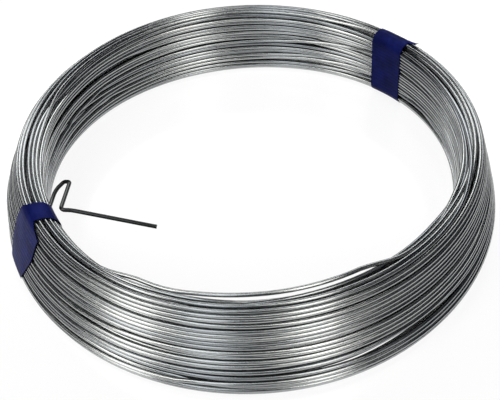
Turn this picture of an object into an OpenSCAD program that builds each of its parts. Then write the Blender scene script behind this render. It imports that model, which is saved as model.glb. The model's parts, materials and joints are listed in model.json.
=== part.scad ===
// Coil of galvanized iron wire as it is sold: loose turns in a rounded bundle, held by two
// bands of blue tape, with the free end of the wire bent out over the eye.
// +Z is up. The coil lies flat, centred on the origin, with its underside at z = 0.

/* [Wire] */
// Diameter of the wire
wire_d = 1.6; // [1.2:0.1:2.4]
// Spacing of neighbouring turns on the face of the bundle, as a share of the wire's diameter
turn_spacing = 1.25; // [1.15:0.05:1.6]
// Depth of the grooves between the turns, as a share of the wire's diameter
groove_share = 0.38; // [0.25:0.01:0.45]

/* [Coil] */
// Diameter of the eye of the coil
coil_eye_d = 175; // [140:1:220]
// Height of the coil, tape included
coil_h = 36; // [30:1:50]
// Width of the bundle of turns near its underside, where it is widest
bundle_base_w = 18.5; // [16:0.5:30]
// Width of the bundle of turns at its top
bundle_top_w = 11; // [10:0.5:13]
// Rounding of the bundle's lower edges
base_edge_r = 6; // [5:0.5:6.5]
// Rounding of the bundle's upper edges
top_edge_r = 4.5; // [3:0.5:5]

/* [Tape bands] */
// Thickness of the tape
tape_t = 0.15; // [0.1:0.05:0.3]
// Gap between the tape and the turns under it
tape_gap = 0.03; // [0.02:0.01:0.1]
// Width of the left band
left_tape_w = 9; // [8:0.5:12]
// Direction of the left band's middle on the top of the bundle, counted round the coil from +X
left_tape_angle = 207; // [200:1:215]
// How far the left band lies askew, in degrees
left_tape_skew = 20; // [0:1:24]
// Width of the left band's end, which laps over it on the outer wall
left_lap_w = 14; // [8:0.5:18]
// Width of the back band
back_tape_w = 17; // [8:0.5:20]
// Direction of the back band's middle, counted round the coil from +X
back_tape_angle = 37.5; // [30:0.5:80]

/* [Free end] */
// Slope at which the wire rises out of the bundle, in degrees
leaving_slope = 10; // [7:1:13]
// Radius at which it turns in over the eye
leaving_r = 6; // [3:0.5:7]
// Radius of the hairpin's two bends
hairpin_r = 2; // [1.6:0.1:3]
// Length of the hairpin's straight returning leg
hairpin_leg = 13.6; // [8:0.1:20]
// Radius of the kink at the foot of the hairpin
kink_r = 1.6; // [1.4:0.1:2.5]
// Length of the last straight run, up to the cut end
last_run = 32; // [15:0.5:45]

/* [Hidden] */

wire_r = wire_d / 2;
tape_build = tape_gap + tape_t;
floor_z = tape_build;
top_z = coil_h - tape_build;
eye_r = coil_eye_d / 2;
outer_r = eye_r + bundle_base_w;
groove = groove_share * wire_d;
corner_steps = 6;

// The bundle's four rounded edges, each as [distance from the axis, height, rounding],
// and the direction in which its leaning outer wall faces
inner_low = [eye_r + base_edge_r, floor_z + base_edge_r, base_edge_r];
outer_low = [outer_r - base_edge_r, floor_z + base_edge_r, base_edge_r];
outer_top = [eye_r + bundle_top_w - top_edge_r, top_z - top_edge_r, top_edge_r];
inner_top = [eye_r + top_edge_r, top_z - top_edge_r, top_edge_r];
wall_run = [outer_top.x - outer_low.x, outer_top.y - outer_low.y];
wall_faces = atan2(wall_run.y, wall_run.x) - acos((base_edge_r - top_edge_r) / norm(wall_run));

// Points round one edge, from one direction to another, at a depth under the surface
function edge(corner, from, to, depth) =
    [for (i = [0:corner_steps])
        let (a = from + (to - from) * i / corner_steps)
        [corner.x + (corner.z - depth) * cos(a), corner.y + (corner.z - depth) * sin(a)]];

// Outline of the bundle's section at a depth under its surface
function section(depth) = concat(
    edge(inner_low, 180, 270, depth),
    edge(outer_low, 270, 360 + wall_faces, depth),
    edge(outer_top, wall_faces, 90, depth),
    edge(inner_top, 90, 180, depth));

// Distance run along a line of points, up to each of them
function distances(points, i = 0, run = 0) =
    i == len(points) - 1 ? [run]
    : concat([run], distances(points, i + 1, run + norm(points[i + 1] - points[i])));

function closed(outline) = concat(outline, [outline[0]]);
function length_of(line) = distances(line)[len(line) - 1];

// Points spaced evenly round an outline
function spaced(outline, count) =
    let (line = closed(outline), run = distances(line),
        xs = [for (i = [0:len(run) - 1]) [run[i], line[i].x]],
        ys = [for (i = [0:len(run) - 1]) [run[i], line[i].y]])
    [for (i = [0:count - 1])
        let (s = (i + 0.5) / count * length_of(line)) [lookup(s, xs), lookup(s, ys)]];

turn_count = floor(length_of(closed(section(wire_r))) / (turn_spacing * wire_d));

// Radius of the slight bend just past the kink
last_bend_r = 15;

// Where the free end starts, inside the bundle: from the left band's edge, back under the band
// and down from the top; the way it then runs, and its bends, each as
// [straight run before it, side it turns to, counted round the wire, angle, radius]
leave_from = [-2.7, 0, -3.3];
leave_heading = -129;
bends = [
    [8.6, -44, 16, leaving_r],
    [3.6, -31, 65, hairpin_r],
    [0.3, -26, 76, hairpin_r],
    [hairpin_leg, 122, 92, kink_r],
    [1.7, 307, 15, last_bend_r]];
wire_sides = 16;
bend_step = 12;

// A direction turned round an axis
function turned(v, axis, angle) =
    v * cos(angle) + cross(axis, v) * sin(angle) + axis * (axis * v) * (1 - cos(angle));

// Stations along the bent wire, each as [middle, way it runs, way its first corner faces]
function stations(at, along, mark, i = 0) =
    i == len(bends) ? [[at, along, mark], [at + last_run * along, along, mark]]
    : let (foot = at + bends[i][0] * along, side = turned(mark, along, bends[i][1]),
           angle = bends[i][2], radius = bends[i][3], axis = cross(along, side),
           middle = foot + radius * side, steps = ceil(angle / bend_step),
           arc = [for (k = [0:steps]) let (a = angle * k / steps)
               [middle - radius * turned(side, axis, a), turned(along, axis, a), turned(mark, axis, a)]])
      concat([[at, along, mark]], [for (k = [0:steps - 1]) arc[k]],
          stations(arc[steps][0], arc[steps][1], arc[steps][2], i + 1));

// Round wire swept along stations
module swept_wire(line) {
    n = wire_sides;
    points = [for (s = line, k = [0:n - 1]) s[0] + wire_r * turned(s[2], s[1], 360 * k / n)];
    walls = [for (i = [0:len(line) - 2], k = [0:n - 1]) let (a = i * n + k, b = i * n + (k + 1) % n)
        each [[a, a + n, b + n], [a, b + n, b]]];
    start_face = [for (k = [0:n - 1]) k];
    cut_face = [for (k = [1:n]) len(line) * n - k];
    polyhedron(points, concat(walls, [start_face, cut_face]));
}

// Places what follows on the bundle: out to the middle of its top and round to an angle,
// turned askew there
module on_bundle(angle, skew) {
    rotate([0, 0, angle]) translate([eye_r + bundle_top_w / 2, 0, 0]) rotate([0, 0, -skew])
        children();
}

// The free end, which comes out beside the left band
module free_end() {
    on_bundle(left_tape_angle, left_tape_skew)
        translate([0, -left_tape_w / 2, top_z])
        translate(leave_from)
        rotate([0, 90 - leaving_slope, leave_heading])
        swept_wire(stations([0, 0, 0], [0, 0, 1], [0, -1, 0]));
}

module wire_coil() {
    color("silver") union() {
        rotate_extrude($fn = 144) {
            polygon(spaced(section(groove), turn_count));
            for (turn = spaced(section(wire_r), turn_count))
                translate(turn) circle(d = wire_d, $fn = 24);
        }
        free_end();
    }
}

// Shell round the whole bundle, up to a height above its surface
module wrap(height) {
    rotate_extrude($fn = 144) difference() {
        polygon(section(-height));
        polygon(section(-tape_gap));
    }
}

// One band of tape round the bundle, of even width
module tape_band(angle, width, skew = 0) {
    intersection() {
        wrap(tape_build);
        on_bundle(angle, skew) translate([-eye_r / 2, -width / 2, -coil_h / 2])
            cube([outer_r, width, 2 * coil_h]);
    }
}

// The end of a band, laid over it once more on the outer wall
module tape_lap(angle, width, skew) {
    intersection() {
        wrap(tape_build + tape_t);
        on_bundle(angle, skew) translate([0, -width / 2, outer_low.y])
            cube([outer_r, width, outer_top.y - outer_low.y]);
    }
}

module left_tape_band() {
    color("midnightblue") union() {
        tape_band(left_tape_angle, left_tape_w, left_tape_skew);
        tape_lap(left_tape_angle, left_lap_w, left_tape_skew);
    }
}

module back_tape_band() {
    color("midnightblue") tape_band(back_tape_angle, back_tape_w);
}

wire_coil();
left_tape_band();
back_tape_band();
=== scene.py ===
import json
import math

import bmesh
import bpy
import numpy as np
from mathutils import Matrix, Vector


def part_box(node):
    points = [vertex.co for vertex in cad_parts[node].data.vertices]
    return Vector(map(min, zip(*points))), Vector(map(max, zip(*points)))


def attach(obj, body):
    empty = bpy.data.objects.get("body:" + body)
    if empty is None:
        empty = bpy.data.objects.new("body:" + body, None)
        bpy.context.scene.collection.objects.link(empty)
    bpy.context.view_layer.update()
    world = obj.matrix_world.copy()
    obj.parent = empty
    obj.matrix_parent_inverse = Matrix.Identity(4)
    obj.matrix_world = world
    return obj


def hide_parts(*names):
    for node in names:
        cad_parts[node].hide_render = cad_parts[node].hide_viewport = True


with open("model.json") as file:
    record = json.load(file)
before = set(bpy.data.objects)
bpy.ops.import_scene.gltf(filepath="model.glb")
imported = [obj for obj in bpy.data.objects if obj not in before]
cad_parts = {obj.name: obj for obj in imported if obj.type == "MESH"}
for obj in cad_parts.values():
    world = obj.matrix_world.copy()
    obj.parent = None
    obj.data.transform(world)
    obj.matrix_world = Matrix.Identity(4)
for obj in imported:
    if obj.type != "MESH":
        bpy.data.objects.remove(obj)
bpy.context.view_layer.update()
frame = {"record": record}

# Lengths are in millimetres up to the point where an object is made, and angles in degrees.
# Directions round the coil count from +X towards +Y.
MM = 0.001


# ---------------------------------------------------------------------------
# Camera: looks down on the coil from the front, with the free end at the left
# ---------------------------------------------------------------------------

CAMERA_DISTANCE = 323.3
CAMERA_ELEVATION = 44.72
CAMERA_ROLL = -3.84
CAMERA_LENS = 51.62
CAMERA_SHIFT = (-0.0028, -0.0284)


def add_camera():
    data = bpy.data.cameras.new("camera")
    data.sensor_width = 36
    data.lens = CAMERA_LENS
    data.shift_x, data.shift_y = CAMERA_SHIFT
    camera = bpy.data.objects.new("camera", data)
    bpy.context.collection.objects.link(camera)
    up = math.radians(CAMERA_ELEVATION)
    reach = CAMERA_DISTANCE * MM
    place = Matrix.Translation((0, -reach * math.cos(up), reach * math.sin(up)))
    tilt = Matrix.Rotation(math.radians(90 - CAMERA_ELEVATION), 4, "X")
    roll = Matrix.Rotation(math.radians(CAMERA_ROLL), 4, "Z")
    camera.matrix_world = place @ tilt @ roll
    bpy.context.scene.camera = camera


# ---------------------------------------------------------------------------
# The bundle's section, as in the part's own frame: distance from the axis and height
# ---------------------------------------------------------------------------

WIRE_D = 1.6
WIRE_R = WIRE_D / 2
EYE_R = frame["record"]["mounts"][0]["dims"]["r_mm"] - 0.2
COIL_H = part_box("back_tape_band")[1][2] / MM
BASE_W = 18.5
TOP_W = 11
BASE_EDGE_R = 6
TOP_EDGE_R = 4.5
TAPE_GAP = 0.03
TAPE_T = 0.15
FLOOR_Z = TAPE_GAP + TAPE_T
TOP_Z = COIL_H - FLOOR_Z

# The four rounded edges: distance from the axis, height, rounding
CORNERS = np.array([
    (EYE_R + BASE_EDGE_R, FLOOR_Z + BASE_EDGE_R, BASE_EDGE_R),
    (EYE_R + BASE_W - BASE_EDGE_R, FLOOR_Z + BASE_EDGE_R, BASE_EDGE_R),
    (EYE_R + TOP_W - TOP_EDGE_R, TOP_Z - TOP_EDGE_R, TOP_EDGE_R),
    (EYE_R + TOP_EDGE_R, TOP_Z - TOP_EDGE_R, TOP_EDGE_R)])

# How each of these edges strays from a true ring: wider all round, then shifted, oval and
# three-cornered, each as a size and the direction of its furthest point
STRAYS = [
    (0.4, (0.2, 107), (0.9, 9), (1.2, 33)),
    (-0.5, (0.2, 171), (0.2, 81), (0.4, 48)),
    (-2.0, (1.3, 74), (1.0, 110), (0.7, 6)),
    (-0.2, (0.7, 113), (0.7, -10), (0.7, 24))]

# At the left the outer wall bulges below its middle: how far, in which direction, and how far
# round. A fifth edge, which lies inside the wall elsewhere, stands out there
BULGE = (3.6, 178, 17)
BULGE_EDGE = np.array([(EYE_R + 9, 15, 5.5)])

STATIONS = 150
SEAM = 205.0
ANGLES = SEAM + 360 * np.arange(STATIONS) / STATIONS


def corners_at(directions):
    """The section's four rounded edges in each direction round the coil."""
    corners = np.repeat(np.concatenate([CORNERS, BULGE_EDGE])[None], len(directions), 0)
    for edge, (wider, *waves) in enumerate(STRAYS):
        corners[:, edge, 0] += wider
        for count, (size, peak) in enumerate(waves, 1):
            corners[:, edge, 0] += size * np.cos(np.radians(count * (directions - peak)))
    more, peak, spread = BULGE
    away = (directions - peak + 180) % 360 - 180
    corners[:, 4, 0] += more * np.exp(-(away / spread) ** 2)
    return corners


def reaches(corners):
    """How far a section reaches towards each facing."""
    return (NORMALS @ np.swapaxes(corners[..., :2], -1, -2) + corners[..., None, :, 2]).max(-1)


def outlines(corners, depth, count=480):
    """Points evenly spaced round each section at a depth under its surface, from its inner
    lower edge along the underside and round."""
    facings = np.linspace(1.25 * np.pi, 3.25 * np.pi, 4 * count, endpoint=False)
    normals = np.stack([np.cos(facings), np.sin(facings)], -1)
    reach = normals @ np.swapaxes(corners[..., :2], -1, -2) + corners[:, None, :, 2]
    middle = np.take_along_axis(corners, reach.argmax(-1)[..., None], 1)
    points = middle[..., :2] + normals * (middle[..., 2:] - depth)
    closed = np.concatenate([points, points[:, :1]], 1)
    steps = np.linalg.norm(np.diff(closed, axis=1), axis=-1)
    rings = []
    for line, step in zip(closed, steps):
        run = np.concatenate([[0], np.cumsum(step)])
        even = np.linspace(0, run[-1], count, endpoint=False)
        rings.append(np.stack([np.interp(even, run, line[:, i]) for i in (0, 1)], -1))
    return np.array(rings)


SECTION_LENGTH = 90.0
FACINGS = np.linspace(0, 2 * np.pi, 96, endpoint=False)
NORMALS = np.stack([np.cos(FACINGS), np.sin(FACINGS)], -1)
CORNERS_AT = corners_at(ANGLES)
REACHES = reaches(CORNERS_AT)
RINGS = outlines(CORNERS_AT, WIRE_R + 0.02)


def on_ring(share):
    """The point at a share of the way round the outermost layer of wires, at each station."""
    count = RINGS.shape[1]
    place = np.mod(share, 1) * count
    low = np.floor(place).astype(int) % count
    part = (place - np.floor(place))[..., None]
    station = np.arange(STATIONS)
    return RINGS[station, low] * (1 - part) + RINGS[station, (low + 1) % count] * part


def strayed(points):
    """Points of the true section, moved as the section strays at each station."""
    across = np.clip((points[..., 0] - EYE_R) / BASE_W, 0, 1)
    up = points[..., 1] / COIL_H
    stray = CORNERS_AT[:, :4, 0] - CORNERS[:, 0]
    low = stray[:, 0] * (1 - across) + stray[:, 1] * across
    top = stray[:, 3] * (1 - across) + stray[:, 2] * across
    moved = points.copy()
    moved[..., 0] += low * (1 - up) + top * up
    return moved


# ---------------------------------------------------------------------------
# The route of the one wire through the bundle
# ---------------------------------------------------------------------------

SKIN_TURNS = 49
CORE_TURNS = 54
SEED = 7

rng = np.random.default_rng(SEED)


def smooth(x):
    x = np.clip(x, 0, 1)
    return x * x * (3 - 2 * x)


def wander(turns, size, waves=9, slowest=0.25, fastest=2.2):
    """A slow drift along the wire, counted in turns."""
    rates = rng.uniform(slowest, fastest, waves)
    phases = rng.uniform(0, 2 * np.pi, waves)
    sizes = rng.uniform(0.4, 1, waves) * size / math.sqrt(waves)
    return (sizes * np.sin(2 * np.pi * rates * turns[..., None] + phases)).sum(-1)


def core_slots():
    """Places of the inner turns, in rows from the top down, each row back against the last."""
    for pitch in np.arange(3.2, 1.6, -0.02):
        rows = []
        heights = np.arange(FLOOR_Z + 3.2, TOP_Z - 3.2, pitch * 0.87)
        for i, z in enumerate(heights):
            xs = np.arange(EYE_R, EYE_R + BASE_W, pitch) + (i % 2) * pitch / 2
            row = np.stack([xs, np.full(len(xs), z)], -1)
            inside = (row @ NORMALS.T - reaches(CORNERS)).max(1) < -WIRE_R - 1.75
            row = row[inside]
            rows.append(row[::-1] if i % 2 else row)
        slots = np.concatenate(rows)[::-1]
        if len(slots) >= CORE_TURNS:
            return slots[:CORE_TURNS]


def crossings():
    """Where a turn of the outermost layer hops over its neighbours: turn, direction, hop."""
    picks = []
    for _ in range(34):
        picks.append((rng.integers(2, SKIN_TURNS - 3), rng.uniform(25, 335), rng.integers(1, 3)))
    return sorted(picks, key=lambda p: p[1])


def plan_strands():
    """Target places of all turns at all stations, which turn each one runs on into, and the
    turn that the free end comes from."""
    share = np.arange(STATIONS) / STATIONS
    turn = np.arange(SKIN_TURNS)[:, None] + share
    drift = wander(turn, 0.55)
    dip = np.zeros((SKIN_TURNS, STATIONS))
    place = np.repeat(np.arange(SKIN_TURNS)[:, None].astype(float), STATIONS, 1)
    order = list(range(SKIN_TURNS))
    span = 22
    for slot, direction, hop in crossings():
        mover = order.pop(slot)
        order.insert(slot + hop, mover)
        gone = smooth((share * 360 - direction + span) / (2 * span))
        near = np.exp(-((share * 360 - direction) / span) ** 2)
        place[mover] += hop * gone
        dip[mover] -= 0.5 * near
        for other in order[slot:slot + hop]:
            place[other] -= gone
            dip[other] += 0.9 * near
    skin = on_ring((place + share + drift) / SKIN_TURNS)
    inward = CORNERS[:, :2].mean(0) - skin
    skin = skin + inward / np.linalg.norm(inward, axis=-1, keepdims=True) * dip[..., None]
    first = np.linalg.norm(skin[:, 0] - FREE_START_SECTION, axis=1).argmin()
    core = core_slots()
    core_next = np.vstack([core[1:], core[-1:]])
    glide = smooth((share[:, None] - 0.55) / 0.4)
    core_run = core[:, None] * (1 - glide) + core_next[:, None] * glide
    far = np.arange(CORE_TURNS)[:, None] + share + 2 * SKIN_TURNS
    core_run = strayed(core_run) + np.stack([wander(far, 0.4), wander(far, 0.4)], -1)
    targets = np.concatenate([skin, core_run])
    follows = np.arange(len(targets)) + 1
    for slot, strand in enumerate(order):
        follows[strand] = (slot + 1) % SKIN_TURNS
    follows[:SKIN_TURNS][follows[:SKIN_TURNS] == first] = SKIN_TURNS
    follows[-1] = first
    follows = join_loops(follows, targets)
    return lead_over(targets, follows), follows, first


def lead_over(targets, follows):
    """Leads each turn over to the start of the one it runs on into. Turns that change places
    pass each other on either side."""
    share = np.arange(STATIONS) / STATIONS
    gap = targets[follows][:, :1] - targets[:, -1:]
    size = np.linalg.norm(gap, axis=-1, keepdims=True)
    sideways = np.stack([-gap[..., 1], gap[..., 0]], -1) / (size + 1e-9)
    ease = smooth((share - 0.72) / 0.28)[:, None]
    arch = 0.6 * np.sin(np.pi * ease) * np.clip(size - WIRE_D, 0, WIRE_D)
    return targets + gap * ease + sideways * arch


def loops(follows):
    """The closed loops that the turns make as each runs on into the next."""
    left = set(range(len(follows)))
    found = []
    while left:
        strand = min(left)
        loop = []
        while strand in left:
            left.remove(strand)
            loop.append(strand)
            strand = follows[strand]
        found.append(loop)
    return found


def join_loops(follows, targets):
    """Swaps the ends of near turns until all turns are one wire, which keeps its inner end."""
    follows = follows.copy()
    ends = targets[:, -1]
    last = len(follows) - 1
    while True:
        found = loops(follows)
        if len(found) == 1:
            return follows
        main = next(loop for loop in found if last in loop)
        rest = [strand for loop in found if loop is not main for strand in loop]
        gaps = np.linalg.norm(ends[main][:, None] - ends[rest][None], axis=-1)
        gaps[np.array(main) == last] = np.inf
        i, j = np.unravel_index(gaps.argmin(), gaps.shape)
        a, b = main[i], rest[j]
        follows[a], follows[b] = follows[b], follows[a]


def push_apart(strands, pairs):
    """Moves turns that overlap out of each other."""
    gap = strands[pairs[0]] - strands[pairs[1]]
    reach = np.linalg.norm(gap, axis=-1, keepdims=True) + 1e-9
    shove = np.clip(WIRE_D - reach, 0, None) / reach * gap * 0.5
    np.add.at(strands, pairs[0], shove)
    np.subtract.at(strands, pairs[1], shove)


def near_pairs(strands):
    """Pairs of turns that come near each other anywhere round the coil."""
    first, second = np.triu_indices(len(strands), 1)
    close = np.zeros(len(first), bool)
    for k in range(0, STATIONS, 3):
        gap = strands[first, k] - strands[second, k]
        close |= (gap ** 2).sum(-1) < (2.2 * WIRE_D) ** 2
    return first[close], second[close]


def keep_inside(strands):
    """Moves turns that stand out of the bundle's outline back into it."""
    over = strands @ NORMALS.T - (REACHES - WIRE_R - 0.02)
    worst = over.argmax(-1)
    depth = np.take_along_axis(over, worst[..., None], -1)
    strands -= np.clip(depth, 0, None) * NORMALS[worst]


def settle(targets, follows, first):
    """Lets the turns settle beside each other without overlap, each as a smooth line."""
    strands = targets.copy()
    previous = np.argsort(follows)
    for sweep in range(220):
        if sweep % 20 == 0:
            pairs = near_pairs(strands)
        if sweep < 200:
            ahead = np.concatenate([strands[:, 1:], strands[follows][:, :1]], 1)
            behind = np.concatenate([strands[previous][:, -1:], strands[:, :-1]], 1)
            behind[first, 0] = strands[first, 0]
            ahead[previous[first], -1] = strands[previous[first], -1]
            strands += 0.24 * (ahead + behind - 2 * strands)
            strands += 0.03 * (targets - strands)
        push_apart(strands, pairs)
        keep_inside(strands)
    return strands


# The turn that springs off the bundle's upper inner edge at the front: the directions where it
# leaves and meets the bundle again, and how far off it stands and rises between them
LOOSE_SPAN = (230, 306)
LOOSE_REACH = 3.2
LOOSE_RISE = 0.7


def loosen(strands):
    """Stands one turn off the bundle's upper inner edge."""
    start, end = LOOSE_SPAN
    middle = np.abs(ANGLES - (start + end) / 2).argmin()
    edge = (EYE_R + 1.9, TOP_Z - 1.9)
    turn = np.linalg.norm(strands[:, middle] - edge, axis=1).argmin()
    part = (ANGLES - start) / (end - start)
    lift = smooth(6 * part) * smooth(6 * (1 - part))
    strands[turn, :, 0] -= LOOSE_REACH * lift
    strands[turn, :, 1] += LOOSE_RISE * lift


def bundle_route():
    """The wire's middle line through all turns, from the free end's side inwards."""
    targets, follows, first = plan_strands()
    strands = settle(targets, follows, first)
    loosen(strands)
    points = []
    strand = first
    for _ in range(len(follows)):
        angle = np.radians(ANGLES)
        r, z = strands[strand].T
        points.append(np.stack([r * np.cos(angle), r * np.sin(angle), z], -1))
        strand = follows[strand]
    return np.concatenate(points)


# ---------------------------------------------------------------------------
# The free end, which first arches up against the inner wall. Its bends, each as straight run
# before it, side it turns to counted round the wire, angle, radius
# ---------------------------------------------------------------------------

LEFT_TAPE_W = 9
LEFT_TAPE_ANGLE = 207
LEFT_TAPE_SKEW = 20
LEAVE_FROM = (-2.7, 0, -9.8)
LEAVE_HEADING = -115
LEAVING_SLOPE = 24
BENDS = [
    (10.2, -23, 44, 6),
    (1.6, -29, 50, 2),
    (1.6, -46, 60, 2),
    (13.7, 102, 95, 1.6),
    (0.8, 298, 11, 15)]
LAST_RUN = 31
FREE_START_SECTION = (EYE_R + 0.8, TOP_Z + LEAVE_FROM[2])


def turned(v, axis, angle):
    """A direction turned round an axis."""
    c, s = math.cos(math.radians(angle)), math.sin(math.radians(angle))
    return v * c + np.cross(axis, v) * s + axis * (axis @ v) * (1 - c)


def on_bundle(points, angle, skew):
    """Points given from the middle of the bundle's top, moved round to an angle, turned askew."""
    a, s = math.radians(angle), math.radians(skew)
    x = EYE_R + TOP_W / 2 + points[..., 0] * math.cos(s) + points[..., 1] * math.sin(s)
    y = -points[..., 0] * math.sin(s) + points[..., 1] * math.cos(s)
    return np.stack([x * math.cos(a) - y * math.sin(a), x * math.sin(a) + y * math.cos(a),
                     points[..., 2]], -1)


def free_end_route():
    """The free end's middle line, from inside the bundle to the cut end."""
    heading, slope = math.radians(LEAVE_HEADING), math.radians(LEAVING_SLOPE)
    at = np.array([LEAVE_FROM[0], LEAVE_FROM[1] - LEFT_TAPE_W / 2, TOP_Z + LEAVE_FROM[2]])
    along = np.array([math.cos(heading) * math.cos(slope), math.sin(heading) * math.cos(slope),
                      math.sin(slope)])
    mark = np.array([math.sin(heading), -math.cos(heading), 0])
    points = [at]
    for run, side_angle, angle, radius in BENDS:
        foot = at + run * along
        side = turned(mark, along, side_angle)
        axis = np.cross(along, side)
        middle = foot + radius * side
        steps = math.ceil(angle / 9)
        if run > 3:
            points += [at + along * run * k / 3 for k in (1, 2)]
        points += [middle - radius * turned(side, axis, angle * k / steps)
                   for k in range(steps + 1)]
        at, along, mark = points[-1], turned(along, axis, angle), turned(mark, axis, angle)
    points += [at + along * LAST_RUN * k / 6 for k in range(1, 7)]
    return on_bundle(np.array(points), LEFT_TAPE_ANGLE, LEFT_TAPE_SKEW)


def joined(free_end, bundle):
    """The free end and the bundle's route as one line, with an easy bend between them."""
    start, inside = free_end[0], bundle[3]
    out = (free_end[0] - free_end[1]) / np.linalg.norm(free_end[0] - free_end[1])
    into = (bundle[4] - bundle[3]) / np.linalg.norm(bundle[4] - bundle[3])
    pull = 0.6 * np.linalg.norm(inside - start)
    t = np.linspace(0, 1, 10)[1:-1, None]
    bend = ((2 * t**3 - 3 * t**2 + 1) * start + (t**3 - 2 * t**2 + t) * out * pull
            + (3 * t**2 - 2 * t**3) * inside + (t**3 - t**2) * into * pull)
    return np.concatenate([free_end[::-1], bend, bundle[3:]])


# ---------------------------------------------------------------------------
# Wire along a route, by Geometry Nodes
# ---------------------------------------------------------------------------

WIRE_SIDES = 10


def add_node(tree, kind, place, **values):
    node = tree.nodes.new(kind)
    node.location = place
    for name, value in values.items():
        setattr(node, name, value)
    return node


def wire_tree():
    """Geometry Nodes tree: a round wire along a line, with its length and its rim stored."""
    tree = bpy.data.node_groups.new("wire along a route", "GeometryNodeTree")
    face = tree.interface
    face.new_socket("Geometry", in_out="INPUT", socket_type="NodeSocketGeometry")
    face.new_socket("Wire diameter", in_out="INPUT", socket_type="NodeSocketFloat")
    face.new_socket("Sides", in_out="INPUT", socket_type="NodeSocketInt")
    face.new_socket("Length before", in_out="INPUT", socket_type="NodeSocketFloat")
    face.new_socket("Finish", in_out="INPUT", socket_type="NodeSocketMaterial")
    face.new_socket("Geometry", in_out="OUTPUT", socket_type="NodeSocketGeometry")
    given = add_node(tree, "NodeGroupInput", (-900, 0))
    line = add_node(tree, "GeometryNodeMeshToCurve", (-700, 0))
    length = add_node(tree, "GeometryNodeSplineParameter", (-900, -200))
    whole = add_node(tree, "ShaderNodeMath", (-700, -200), operation="ADD")
    keep_length = add_node(tree, "GeometryNodeStoreNamedAttribute", (-500, 0), data_type="FLOAT")
    keep_length.inputs["Name"].default_value = "along"
    half = add_node(tree, "ShaderNodeMath", (-700, -400), operation="MULTIPLY")
    half.inputs[1].default_value = 0.5
    ring = add_node(tree, "GeometryNodeCurvePrimitiveCircle", (-500, -300))
    rim = add_node(tree, "GeometryNodeInputPosition", (-500, -500))
    keep_rim = add_node(tree, "GeometryNodeStoreNamedAttribute", (-300, -300),
                        data_type="FLOAT_VECTOR")
    keep_rim.inputs["Name"].default_value = "rim"
    sweep = add_node(tree, "GeometryNodeCurveToMesh", (-100, 0))
    sweep.inputs["Fill Caps"].default_value = True
    shade = add_node(tree, "GeometryNodeSetShadeSmooth", (100, 0))
    real = add_node(tree, "GeometryNodeRealizeInstances", (300, 0))
    paint = add_node(tree, "GeometryNodeSetMaterial", (500, 0))
    result = add_node(tree, "NodeGroupOutput", (700, 0))
    link = tree.links.new
    link(given.outputs["Geometry"], line.inputs["Mesh"])
    link(line.outputs["Curve"], keep_length.inputs["Geometry"])
    link(length.outputs["Length"], whole.inputs[0])
    link(given.outputs["Length before"], whole.inputs[1])
    link(whole.outputs[0], keep_length.inputs["Value"])
    link(given.outputs["Wire diameter"], half.inputs[0])
    link(half.outputs[0], ring.inputs["Radius"])
    link(given.outputs["Sides"], ring.inputs["Resolution"])
    link(ring.outputs["Curve"], keep_rim.inputs["Geometry"])
    link(rim.outputs["Position"], keep_rim.inputs["Value"])
    link(keep_length.outputs["Geometry"], sweep.inputs["Curve"])
    link(keep_rim.outputs["Geometry"], sweep.inputs["Profile Curve"])
    link(sweep.outputs["Mesh"], shade.inputs["Geometry"])
    link(shade.outputs["Geometry"], real.inputs["Geometry"])
    link(real.outputs["Geometry"], paint.inputs["Geometry"])
    link(given.outputs["Finish"], paint.inputs["Material"])
    link(paint.outputs["Geometry"], result.inputs["Geometry"])
    return tree


def input_id(tree, name):
    for item in tree.interface.items_tree:
        if item.in_out == "INPUT" and item.name == name:
            return item.identifier


def made_by(tree, name, source, values):
    """A plain mesh object: the tree's result on a source mesh."""
    carrier = bpy.data.objects.new(name + "_source", source)
    bpy.context.collection.objects.link(carrier)
    modifier = carrier.modifiers.new("nodes", "NODES")
    modifier.node_group = tree
    for label, value in values.items():
        modifier[input_id(tree, label)] = value
    bpy.context.view_layer.update()
    seen = carrier.evaluated_get(bpy.context.evaluated_depsgraph_get())
    mesh = bpy.data.meshes.new_from_object(seen)
    mesh.name = name
    carrier.modifiers.remove(modifier)
    bpy.data.objects.remove(carrier)
    piece = bpy.data.objects.new(name, mesh)
    bpy.context.collection.objects.link(piece)
    return piece


def wire_piece(name, points, before, tree, finish):
    """A run of the wire along points, with the length of wire before it."""
    line = bpy.data.meshes.new(name + "_line")
    edges = np.stack([np.arange(len(points) - 1), np.arange(1, len(points))], -1)
    line.from_pydata((points * MM).tolist(), edges.tolist(), [])
    return made_by(tree, name, line, {
        "Wire diameter": WIRE_D * MM,
        "Sides": WIRE_SIDES,
        "Length before": before * MM,
        "Finish": finish})


# ---------------------------------------------------------------------------
# Tape bands
# ---------------------------------------------------------------------------

BACK_TAPE_W = 17
BACK_TAPE_ANGLE = 38.7
TAPE_START = 0.09
TAPE_RIPPLE = 0.05


def share_at(angle, place):
    """How far round the section, as a share, the point nearest to a place lies."""
    ring = outlines(corners_at(np.array([angle])), 0)[0]
    return np.linalg.norm(ring - place, axis=1).argmin() / len(ring)


def tape_face(angle, skew, across, shares, height):
    """Points of one face of a tape, by rows and columns: across is their distance from the
    band's middle line, shares the rows' places round the section, height their distance from
    the turns."""
    c, s = math.cos(math.radians(skew)), math.sin(math.radians(skew))
    pivot = EYE_R + TOP_W / 2
    corners = corners_at(angle + np.degrees(across.mean(0) / pivot))
    low, high = outlines(corners, 0), outlines(corners, -1)
    place = (np.mod(shares, 1) * low.shape[1]).astype(int)
    low, high = low[:, place].swapaxes(0, 1), high[:, place].swapaxes(0, 1)
    r, z = np.moveaxis(low + (high - low) * height[..., None], -1, 0)
    rest = pivot**2 + 2 * pivot * across * s + across**2 - r**2
    x = -pivot * c + np.sqrt((pivot * c) ** 2 - rest)
    return on_bundle(np.stack([x, across, z], -1), angle, skew)


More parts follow.
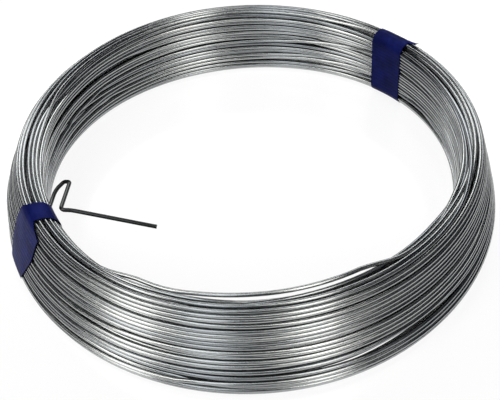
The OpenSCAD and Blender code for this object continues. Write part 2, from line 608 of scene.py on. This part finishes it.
def add_sheet(shell, angle, skew, across, shares, height):
    """Adds a closed sheet of tape to a shell of points, faces and runs along the tape."""
    points, faces, runs = shell
    rows, columns = across.shape
    first = sum(len(part) for part in points)
    for lift in (0, TAPE_T):
        face = tape_face(angle, skew, across, shares, height + lift)
        points.append(face.reshape(-1, 3))
        runs.append(np.repeat(shares * SECTION_LENGTH, columns))
    under = first + np.arange(rows * columns).reshape(rows, columns)
    over = under + rows * columns
    for grid in (under, over):
        quads = np.stack([grid[:-1, :-1], grid[:-1, 1:], grid[1:, 1:], grid[1:, :-1]], -1)
        faces += quads.reshape(-1, 4).tolist()
    rims = [(under[:, 0], over[:, 0]), (under[:, -1], over[:, -1])]
    if shares[-1] - shares[0] < 1:
        rims += [(under[0], over[0]), (under[-1], over[-1])]
    for low, high in rims:
        faces += np.stack([low[:-1], low[1:], high[1:], high[:-1]], -1).tolist()


def ripples(across, shares, size):
    """Slight waves of a tape that lies over the turns."""
    length = shares[:, None] * SECTION_LENGTH
    waves = np.sin(length / 2.1 + 0.35 * across) + np.sin(length / 5.3 - 0.5 * across + 1)
    waves = waves + np.sin(length / 3.4 + 0.8 * across + 2)
    clear = smooth((np.minimum(shares - TAPE_START, TAPE_START + 1 - shares) - 0.13) / 0.05)
    return size * (1 + waves / 3) * clear[:, None]


def tape_piece(name, shell, finish):
    """A plain mesh object: a shell of tape, closed and facing outwards."""
    points, faces, runs = shell
    mesh = bpy.data.meshes.new(name)
    mesh.from_pydata((np.concatenate(points) * MM).tolist(), [], faces)
    mesh.attributes.new("run", "FLOAT", "POINT").data.foreach_set("value", np.concatenate(runs))
    piece = bpy.data.objects.new(name, mesh)
    bpy.context.collection.objects.link(piece)
    closed = bmesh.new()
    closed.from_mesh(mesh)
    bmesh.ops.remove_doubles(closed, verts=closed.verts, dist=1e-6)
    bmesh.ops.recalc_face_normals(closed, faces=closed.faces)
    closed.to_mesh(mesh)
    closed.free()
    mesh.shade_smooth()
    mesh.set_sharp_from_angle(angle=math.radians(50))
    mesh.materials.append(finish)
    return piece


def band(shell, angle, skew, width, size):
    """Adds a tape that goes once all round the section."""
    shares = TAPE_START + np.linspace(0, 1, 261)
    across = np.repeat(np.linspace(-width / 2, width / 2, 17)[None], len(shares), 0)
    add_sheet(shell, angle, skew, across, shares, TAPE_GAP + ripples(across, shares, size))


def left_tape():
    """The left band, and its end, which is cut askew and laps over it on the outer wall."""
    shell = ([], [], [])
    band(shell, LEFT_TAPE_ANGLE, LEFT_TAPE_SKEW, LEFT_TAPE_W, TAPE_RIPPLE)
    start = share_at(LEFT_TAPE_ANGLE, (EYE_R + BASE_W, 6.5))
    end = share_at(LEFT_TAPE_ANGLE, (EYE_R + 6, 35))
    shares = np.linspace(start, end, 90)
    along = np.linspace(0, 1, len(shares))
    left = np.interp(along, (0, 0.35, 0.7, 1), (-6, -7.8, -7.3, -4.6))
    right = np.interp(along, (0, 0.5, 0.8, 0.88, 1), (6, 11.4, 11.6, 12.2, 5))
    across = np.linspace(left, right, 17, axis=1)
    height = 2 * TAPE_GAP + TAPE_T + 0.1 + ripples(across, shares, TAPE_RIPPLE)
    add_sheet(shell, LEFT_TAPE_ANGLE, LEFT_TAPE_SKEW, across, shares, height)
    return shell


def back_tape():
    """The back band, with a small flap of its end that stands off at the top."""
    shell = ([], [], [])
    band(shell, BACK_TAPE_ANGLE, 0, BACK_TAPE_W, TAPE_RIPPLE)
    top = share_at(BACK_TAPE_ANGLE, (EYE_R + TOP_W - 3, TOP_Z))
    shares = np.linspace(top, top + 0.03, 8)
    out = np.linspace(0, 1, 9)
    across = np.repeat((-BACK_TAPE_W / 2 + 1.5 - 6 * out)[None], len(shares), 0)
    height = np.repeat((0.3 + 1.1 * out**2)[None], len(shares), 0)
    add_sheet(shell, BACK_TAPE_ANGLE, 0, across, shares, height)
    return shell


# ---------------------------------------------------------------------------
# Finishes
# ---------------------------------------------------------------------------

def new_finish(name):
    finish = bpy.data.materials.new(name)
    finish.use_nodes = True
    return finish, finish.node_tree, finish.node_tree.nodes["Principled BSDF"]


def noise(tree, vector, place, scale, detail=2):
    """Noise around 0 at a scale along a vector."""
    node = add_node(tree, "ShaderNodeTexNoise", place)
    node.inputs["Scale"].default_value = scale
    node.inputs["Detail"].default_value = detail
    tree.links.new(vector, node.inputs["Vector"])
    return node.outputs["Fac"]


def mapped(tree, value, place, low, high, start=0.35, end=0.65):
    """A value between two bounds turned into one between low and high."""
    node = add_node(tree, "ShaderNodeMapRange", place)
    node.inputs["From Min"].default_value = start
    node.inputs["From Max"].default_value = end
    node.inputs["To Min"].default_value = low
    node.inputs["To Max"].default_value = high
    tree.links.new(value, node.inputs["Value"])
    return node.outputs["Result"]


def wire_vector(tree, place, round_scale, along_scale):
    """A texture vector that follows the wire: round its rim and along its length."""
    rim = add_node(tree, "ShaderNodeAttribute", place, attribute_name="rim")
    along = add_node(tree, "ShaderNodeAttribute", (place[0], place[1] - 180), attribute_name="along")
    rim_scale = add_node(tree, "ShaderNodeVectorMath", (place[0] + 200, place[1]), operation="SCALE")
    rim_scale.inputs["Scale"].default_value = round_scale
    reach = add_node(tree, "ShaderNodeMath", (place[0] + 200, place[1] - 180), operation="MULTIPLY")
    reach.inputs[1].default_value = along_scale
    lengthways = add_node(tree, "ShaderNodeCombineXYZ", (place[0] + 400, place[1] - 180))
    total = add_node(tree, "ShaderNodeVectorMath", (place[0] + 600, place[1]), operation="ADD")
    tree.links.new(rim.outputs["Vector"], rim_scale.inputs[0])
    tree.links.new(along.outputs["Fac"], reach.inputs[0])
    tree.links.new(reach.outputs[0], lengthways.inputs["Z"])
    tree.links.new(rim_scale.outputs[0], total.inputs[0])
    tree.links.new(lengthways.outputs[0], total.inputs[1])
    return total.outputs[0]


WIRE_DARK = (0.24, 0.253, 0.264, 1)
WIRE_BRIGHT = (0.47, 0.482, 0.475, 1)
WIRE_ROUGHNESS = (0.17, 0.3)

# Painted shade on the free end: its colour is scaled down to stand in for the shade it lies in. The
# table gives its colour's share of the rest's, then of all of it, and the lengths of wire over which
# the one turns into the other
FREE_END_PAINTED_SHADE = (0.12, 1, 0.062, 0.075)


def galvanized_wire():
    """Zinc over drawn steel: streaks along the wire, dull and bright lengths, fine dents, and
    painted shade that darkens the free end.
    """
    finish, tree, shader = new_finish("galvanized wire")
    shader.inputs["Metallic"].default_value = 1
    streaks = noise(tree, wire_vector(tree, (-1600, 400), 2600, 70), (-800, 400), 1)
    lengths = noise(tree, wire_vector(tree, (-1600, 0), 250, 2.2), (-800, 0), 1)
    dents = noise(tree, wire_vector(tree, (-1600, -400), 1800, 900), (-800, -400), 1, 3)
    both = add_node(tree, "ShaderNodeMath", (-600, 200), operation="MULTIPLY_ADD")
    both.inputs[1].default_value = 0.4
    tree.links.new(streaks, both.inputs[0])
    tree.links.new(mapped(tree, lengths, (-800, 200), 0, 0.6, 0.3, 0.7), both.inputs[2])
    shade = add_node(tree, "ShaderNodeValToRGB", (-400, 300))
    shade.color_ramp.elements[0].color = WIRE_DARK
    shade.color_ramp.elements[0].position = 0.25
    shade.color_ramp.elements[1].color = WIRE_BRIGHT
    shade.color_ramp.elements[1].position = 0.75
    tree.links.new(both.outputs[0], shade.inputs[0])
    # Painted shade: over the first 62 mm of wire, the free end, the colour is scaled down to 0.12 of
    # the rest's
    along = add_node(tree, "ShaderNodeAttribute", (-1000, 700), attribute_name="along")
    painted_end_shade = add_node(tree, "ShaderNodeVectorMath", (-200, 300), operation="SCALE")
    share = mapped(tree, along.outputs["Fac"], (-800, 700), *FREE_END_PAINTED_SHADE)
    tree.links.new(shade.outputs[0], painted_end_shade.inputs[0])
    tree.links.new(share, painted_end_shade.inputs["Scale"])
    tree.links.new(painted_end_shade.outputs[0], shader.inputs["Base Color"])
    rough = mapped(tree, streaks, (-400, 0), *WIRE_ROUGHNESS)
    tree.links.new(rough, shader.inputs["Roughness"])
    bump = add_node(tree, "ShaderNodeBump", (-400, -300))
    bump.inputs["Strength"].default_value = 0.25
    bump.inputs["Distance"].default_value = 0.00004
    tree.links.new(dents, bump.inputs["Height"])
    tree.links.new(bump.outputs[0], shader.inputs["Normal"])
    return finish


TAPE_ROUGHNESS = (0.42, 0.55)


def blue_tape():
    """Stretched vinyl: a fine grain, long creases, and the turns' print from below."""
    finish, tree, shader = new_finish("blue tape")
    where = add_node(tree, "ShaderNodeTexCoord", (-1200, 0)).outputs["Object"]
    grain = noise(tree, where, (-900, 200), 2500, 3)
    creases = noise(tree, where, (-900, -100), 160, 2)
    run = add_node(tree, "ShaderNodeAttribute", (-1200, -400), attribute_name="run")
    print_wave = add_node(tree, "ShaderNodeMath", (-1000, -400), operation="SINE")
    turns = add_node(tree, "ShaderNodeMath", (-1100, -400), operation="MULTIPLY")
    turns.inputs[1].default_value = math.tau * SKIN_TURNS / SECTION_LENGTH
    tree.links.new(run.outputs["Fac"], turns.inputs[0])
    tree.links.new(turns.outputs[0], print_wave.inputs[0])
    faint = mapped(tree, print_wave.outputs[0], (-800, -400), 0, 0.35, -1, 1)
    height = add_node(tree, "ShaderNodeMath", (-600, -200), operation="ADD")
    tree.links.new(creases, height.inputs[0])
    tree.links.new(faint, height.inputs[1])
    fine = add_node(tree, "ShaderNodeMath", (-450, -100), operation="MULTIPLY_ADD")
    fine.inputs[1].default_value = 0.12
    tree.links.new(grain, fine.inputs[0])
    tree.links.new(height.outputs[0], fine.inputs[2])
    bump = add_node(tree, "ShaderNodeBump", (-250, -200))
    bump.inputs["Strength"].default_value = 0.35
    bump.inputs["Distance"].default_value = 0.0003
    tree.links.new(fine.outputs[0], bump.inputs["Height"])
    tree.links.new(bump.outputs[0], shader.inputs["Normal"])
    shade = add_node(tree, "ShaderNodeValToRGB", (-400, 300))
    shade.color_ramp.elements[0].color = (0.004, 0.007, 0.065, 1)
    shade.color_ramp.elements[1].color = (0.008, 0.013, 0.120, 1)
    tree.links.new(mapped(tree, creases, (-600, 300), 0, 1), shade.inputs[0])
    tree.links.new(shade.outputs[0], shader.inputs["Base Color"])
    tree.links.new(mapped(tree, grain, (-400, 50), *TAPE_ROUGHNESS), shader.inputs["Roughness"])
    shader.inputs["Specular IOR Level"].default_value = 0.05
    return finish


def shown_white(tree):
    """1 where the camera looks, straight or by way of metal, tape or glass, and 0 elsewhere."""
    path = add_node(tree, "ShaderNodeLightPath", (-1000, -300))
    other = add_node(tree, "ShaderNodeMath", (-800, -400), operation="MAXIMUM")
    seen = add_node(tree, "ShaderNodeMath", (-600, -300), operation="MAXIMUM")
    tree.links.new(path.outputs["Is Glossy Ray"], other.inputs[0])
    tree.links.new(path.outputs["Is Transmission Ray"], other.inputs[1])
    tree.links.new(other.outputs[0], seen.inputs[0])
    tree.links.new(path.outputs["Is Camera Ray"], seen.inputs[1])
    return seen.outputs[0]


FLOOR_GLOW = 0.87
FLOOR_SHADE = 0.045
FLOOR_SHADE_SEEN = 0.1


def pale_floor():
    """White paper, with the coil's shadow on it, and a little sheen that mirrors the lamps."""
    finish, tree, shader = new_finish("pale floor")
    shader.inputs["Roughness"].default_value = 0.2
    shader.inputs["Specular IOR Level"].default_value = 1
    shader.inputs["Emission Color"].default_value = (1, 1, 1, 1)
    seen = shown_white(tree)
    shade = add_node(tree, "ShaderNodeMath", (-300, 100), operation="MULTIPLY_ADD")
    shade.inputs[1].default_value = FLOOR_SHADE_SEEN
    shade.inputs[2].default_value = FLOOR_SHADE
    glow = add_node(tree, "ShaderNodeMath", (-300, -300), operation="MULTIPLY")
    glow.inputs[1].default_value = FLOOR_GLOW
    tree.links.new(seen, shade.inputs[0])
    tree.links.new(shade.outputs[0], shader.inputs["Base Color"])
    tree.links.new(seen, glow.inputs[0])
    tree.links.new(glow.outputs[0], shader.inputs["Emission Strength"])
    return finish


# ---------------------------------------------------------------------------
# Stage and light
# ---------------------------------------------------------------------------

# The floor runs out to the horizon, in metres, a hair under the coil
FLOOR_REACH = 40.0
FLOOR_DROP = 0.00005


def add_floor():
    side = FLOOR_REACH
    z = -FLOOR_DROP
    mesh = bpy.data.meshes.new("floor")
    mesh.from_pydata([(-side, -side, z), (side, -side, z), (side, side, z), (-side, side, z)],
                     [], [(0, 1, 2, 3)])
    mesh.materials.append(pale_floor())
    floor = bpy.data.objects.new("floor", mesh)
    bpy.context.collection.objects.link(floor)


LAMP_DISTANCE = 1.2


def add_lamp(name, wires, reach, size, glow, colour=(1, 1, 1)):
    """A rectangular lamp that shows on the wires in one direction round the coil, and on those
    across from them. Its reach is how far it stands, as a share of LAMP_DISTANCE, from the spot
    that mirrors the camera over the far side. Its size is its width, and its length square to
    those wires. Its glow is the light it sends out by area."""
    aim = math.radians(wires)
    x = reach * math.cos(aim)
    y = reach * math.sin(aim) + math.cos(math.radians(CAMERA_ELEVATION))
    way = Vector((x, y, math.sqrt(1 - x * x - y * y)))
    data = bpy.data.lights.new(name, "AREA")
    data.shape = "RECTANGLE"
    data.size, data.size_y = size
    data.energy = glow * math.pi * size[0] * size[1]
    data.color = colour
    lamp = bpy.data.objects.new(name, data)
    bpy.context.collection.objects.link(lamp)
    lengthways = way.cross(Vector((-math.sin(aim), math.cos(aim), 0))).normalized()
    across = lengthways.cross(way)
    lamp.matrix_world = Matrix.Translation(way * LAMP_DISTANCE) @ Matrix(
        (across, lengthways, way)).transposed().to_4x4()


# The dim room round the white floor
ROOM = (0.016, 0.02, 0.028, 1)


def add_light():
    world = bpy.data.worlds.new("room")
    world.use_nodes = True
    walls = world.node_tree.nodes["Background"]
    walls.inputs["Color"].default_value = ROOM
    bpy.context.scene.world = world
    add_lamp("lamp in front", 283, 1.3, (0.3, 1.9), 4, (1, 0.98, 0.94))
    add_lamp("wide lamp at the left", 239, 1.25, (0.38, 1.9), 3.6, (1, 0.98, 0.95))
    add_lamp("dim lamp in front", 257, 1.25, (0.3, 1.9), 2, (0.92, 0.96, 1))
    add_lamp("strip behind", 90, 0.08, (1.5, 0.3), 3.5)


# ---------------------------------------------------------------------------
# Making
# ---------------------------------------------------------------------------

add_camera()
bpy.context.scene.view_settings.view_transform = "Standard"
add_floor()
add_light()

zinc = galvanized_wire()
vinyl = blue_tape()

route = joined(free_end_route(), bundle_route())
tree = wire_tree()
half = len(route) // 2
lengths = np.concatenate([[0], np.cumsum(np.linalg.norm(np.diff(route, axis=0), axis=1))])
runs = (("outer_run_of_wire", 0, half), ("inner_run_of_wire", half, len(route) - 1))
for name, start, end in runs:
    piece = wire_piece(name, route[start:end + 1], lengths[start], tree, zinc)
    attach(piece, "root")
    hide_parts("wire_coil")

left = tape_piece("left_tape_wrap", left_tape(), vinyl)
back = tape_piece("back_tape_wrap", back_tape(), vinyl)
for piece, node in ((left, "left_tape_band"), (back, "back_tape_band")):
    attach(piece, "root")
    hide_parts(node)
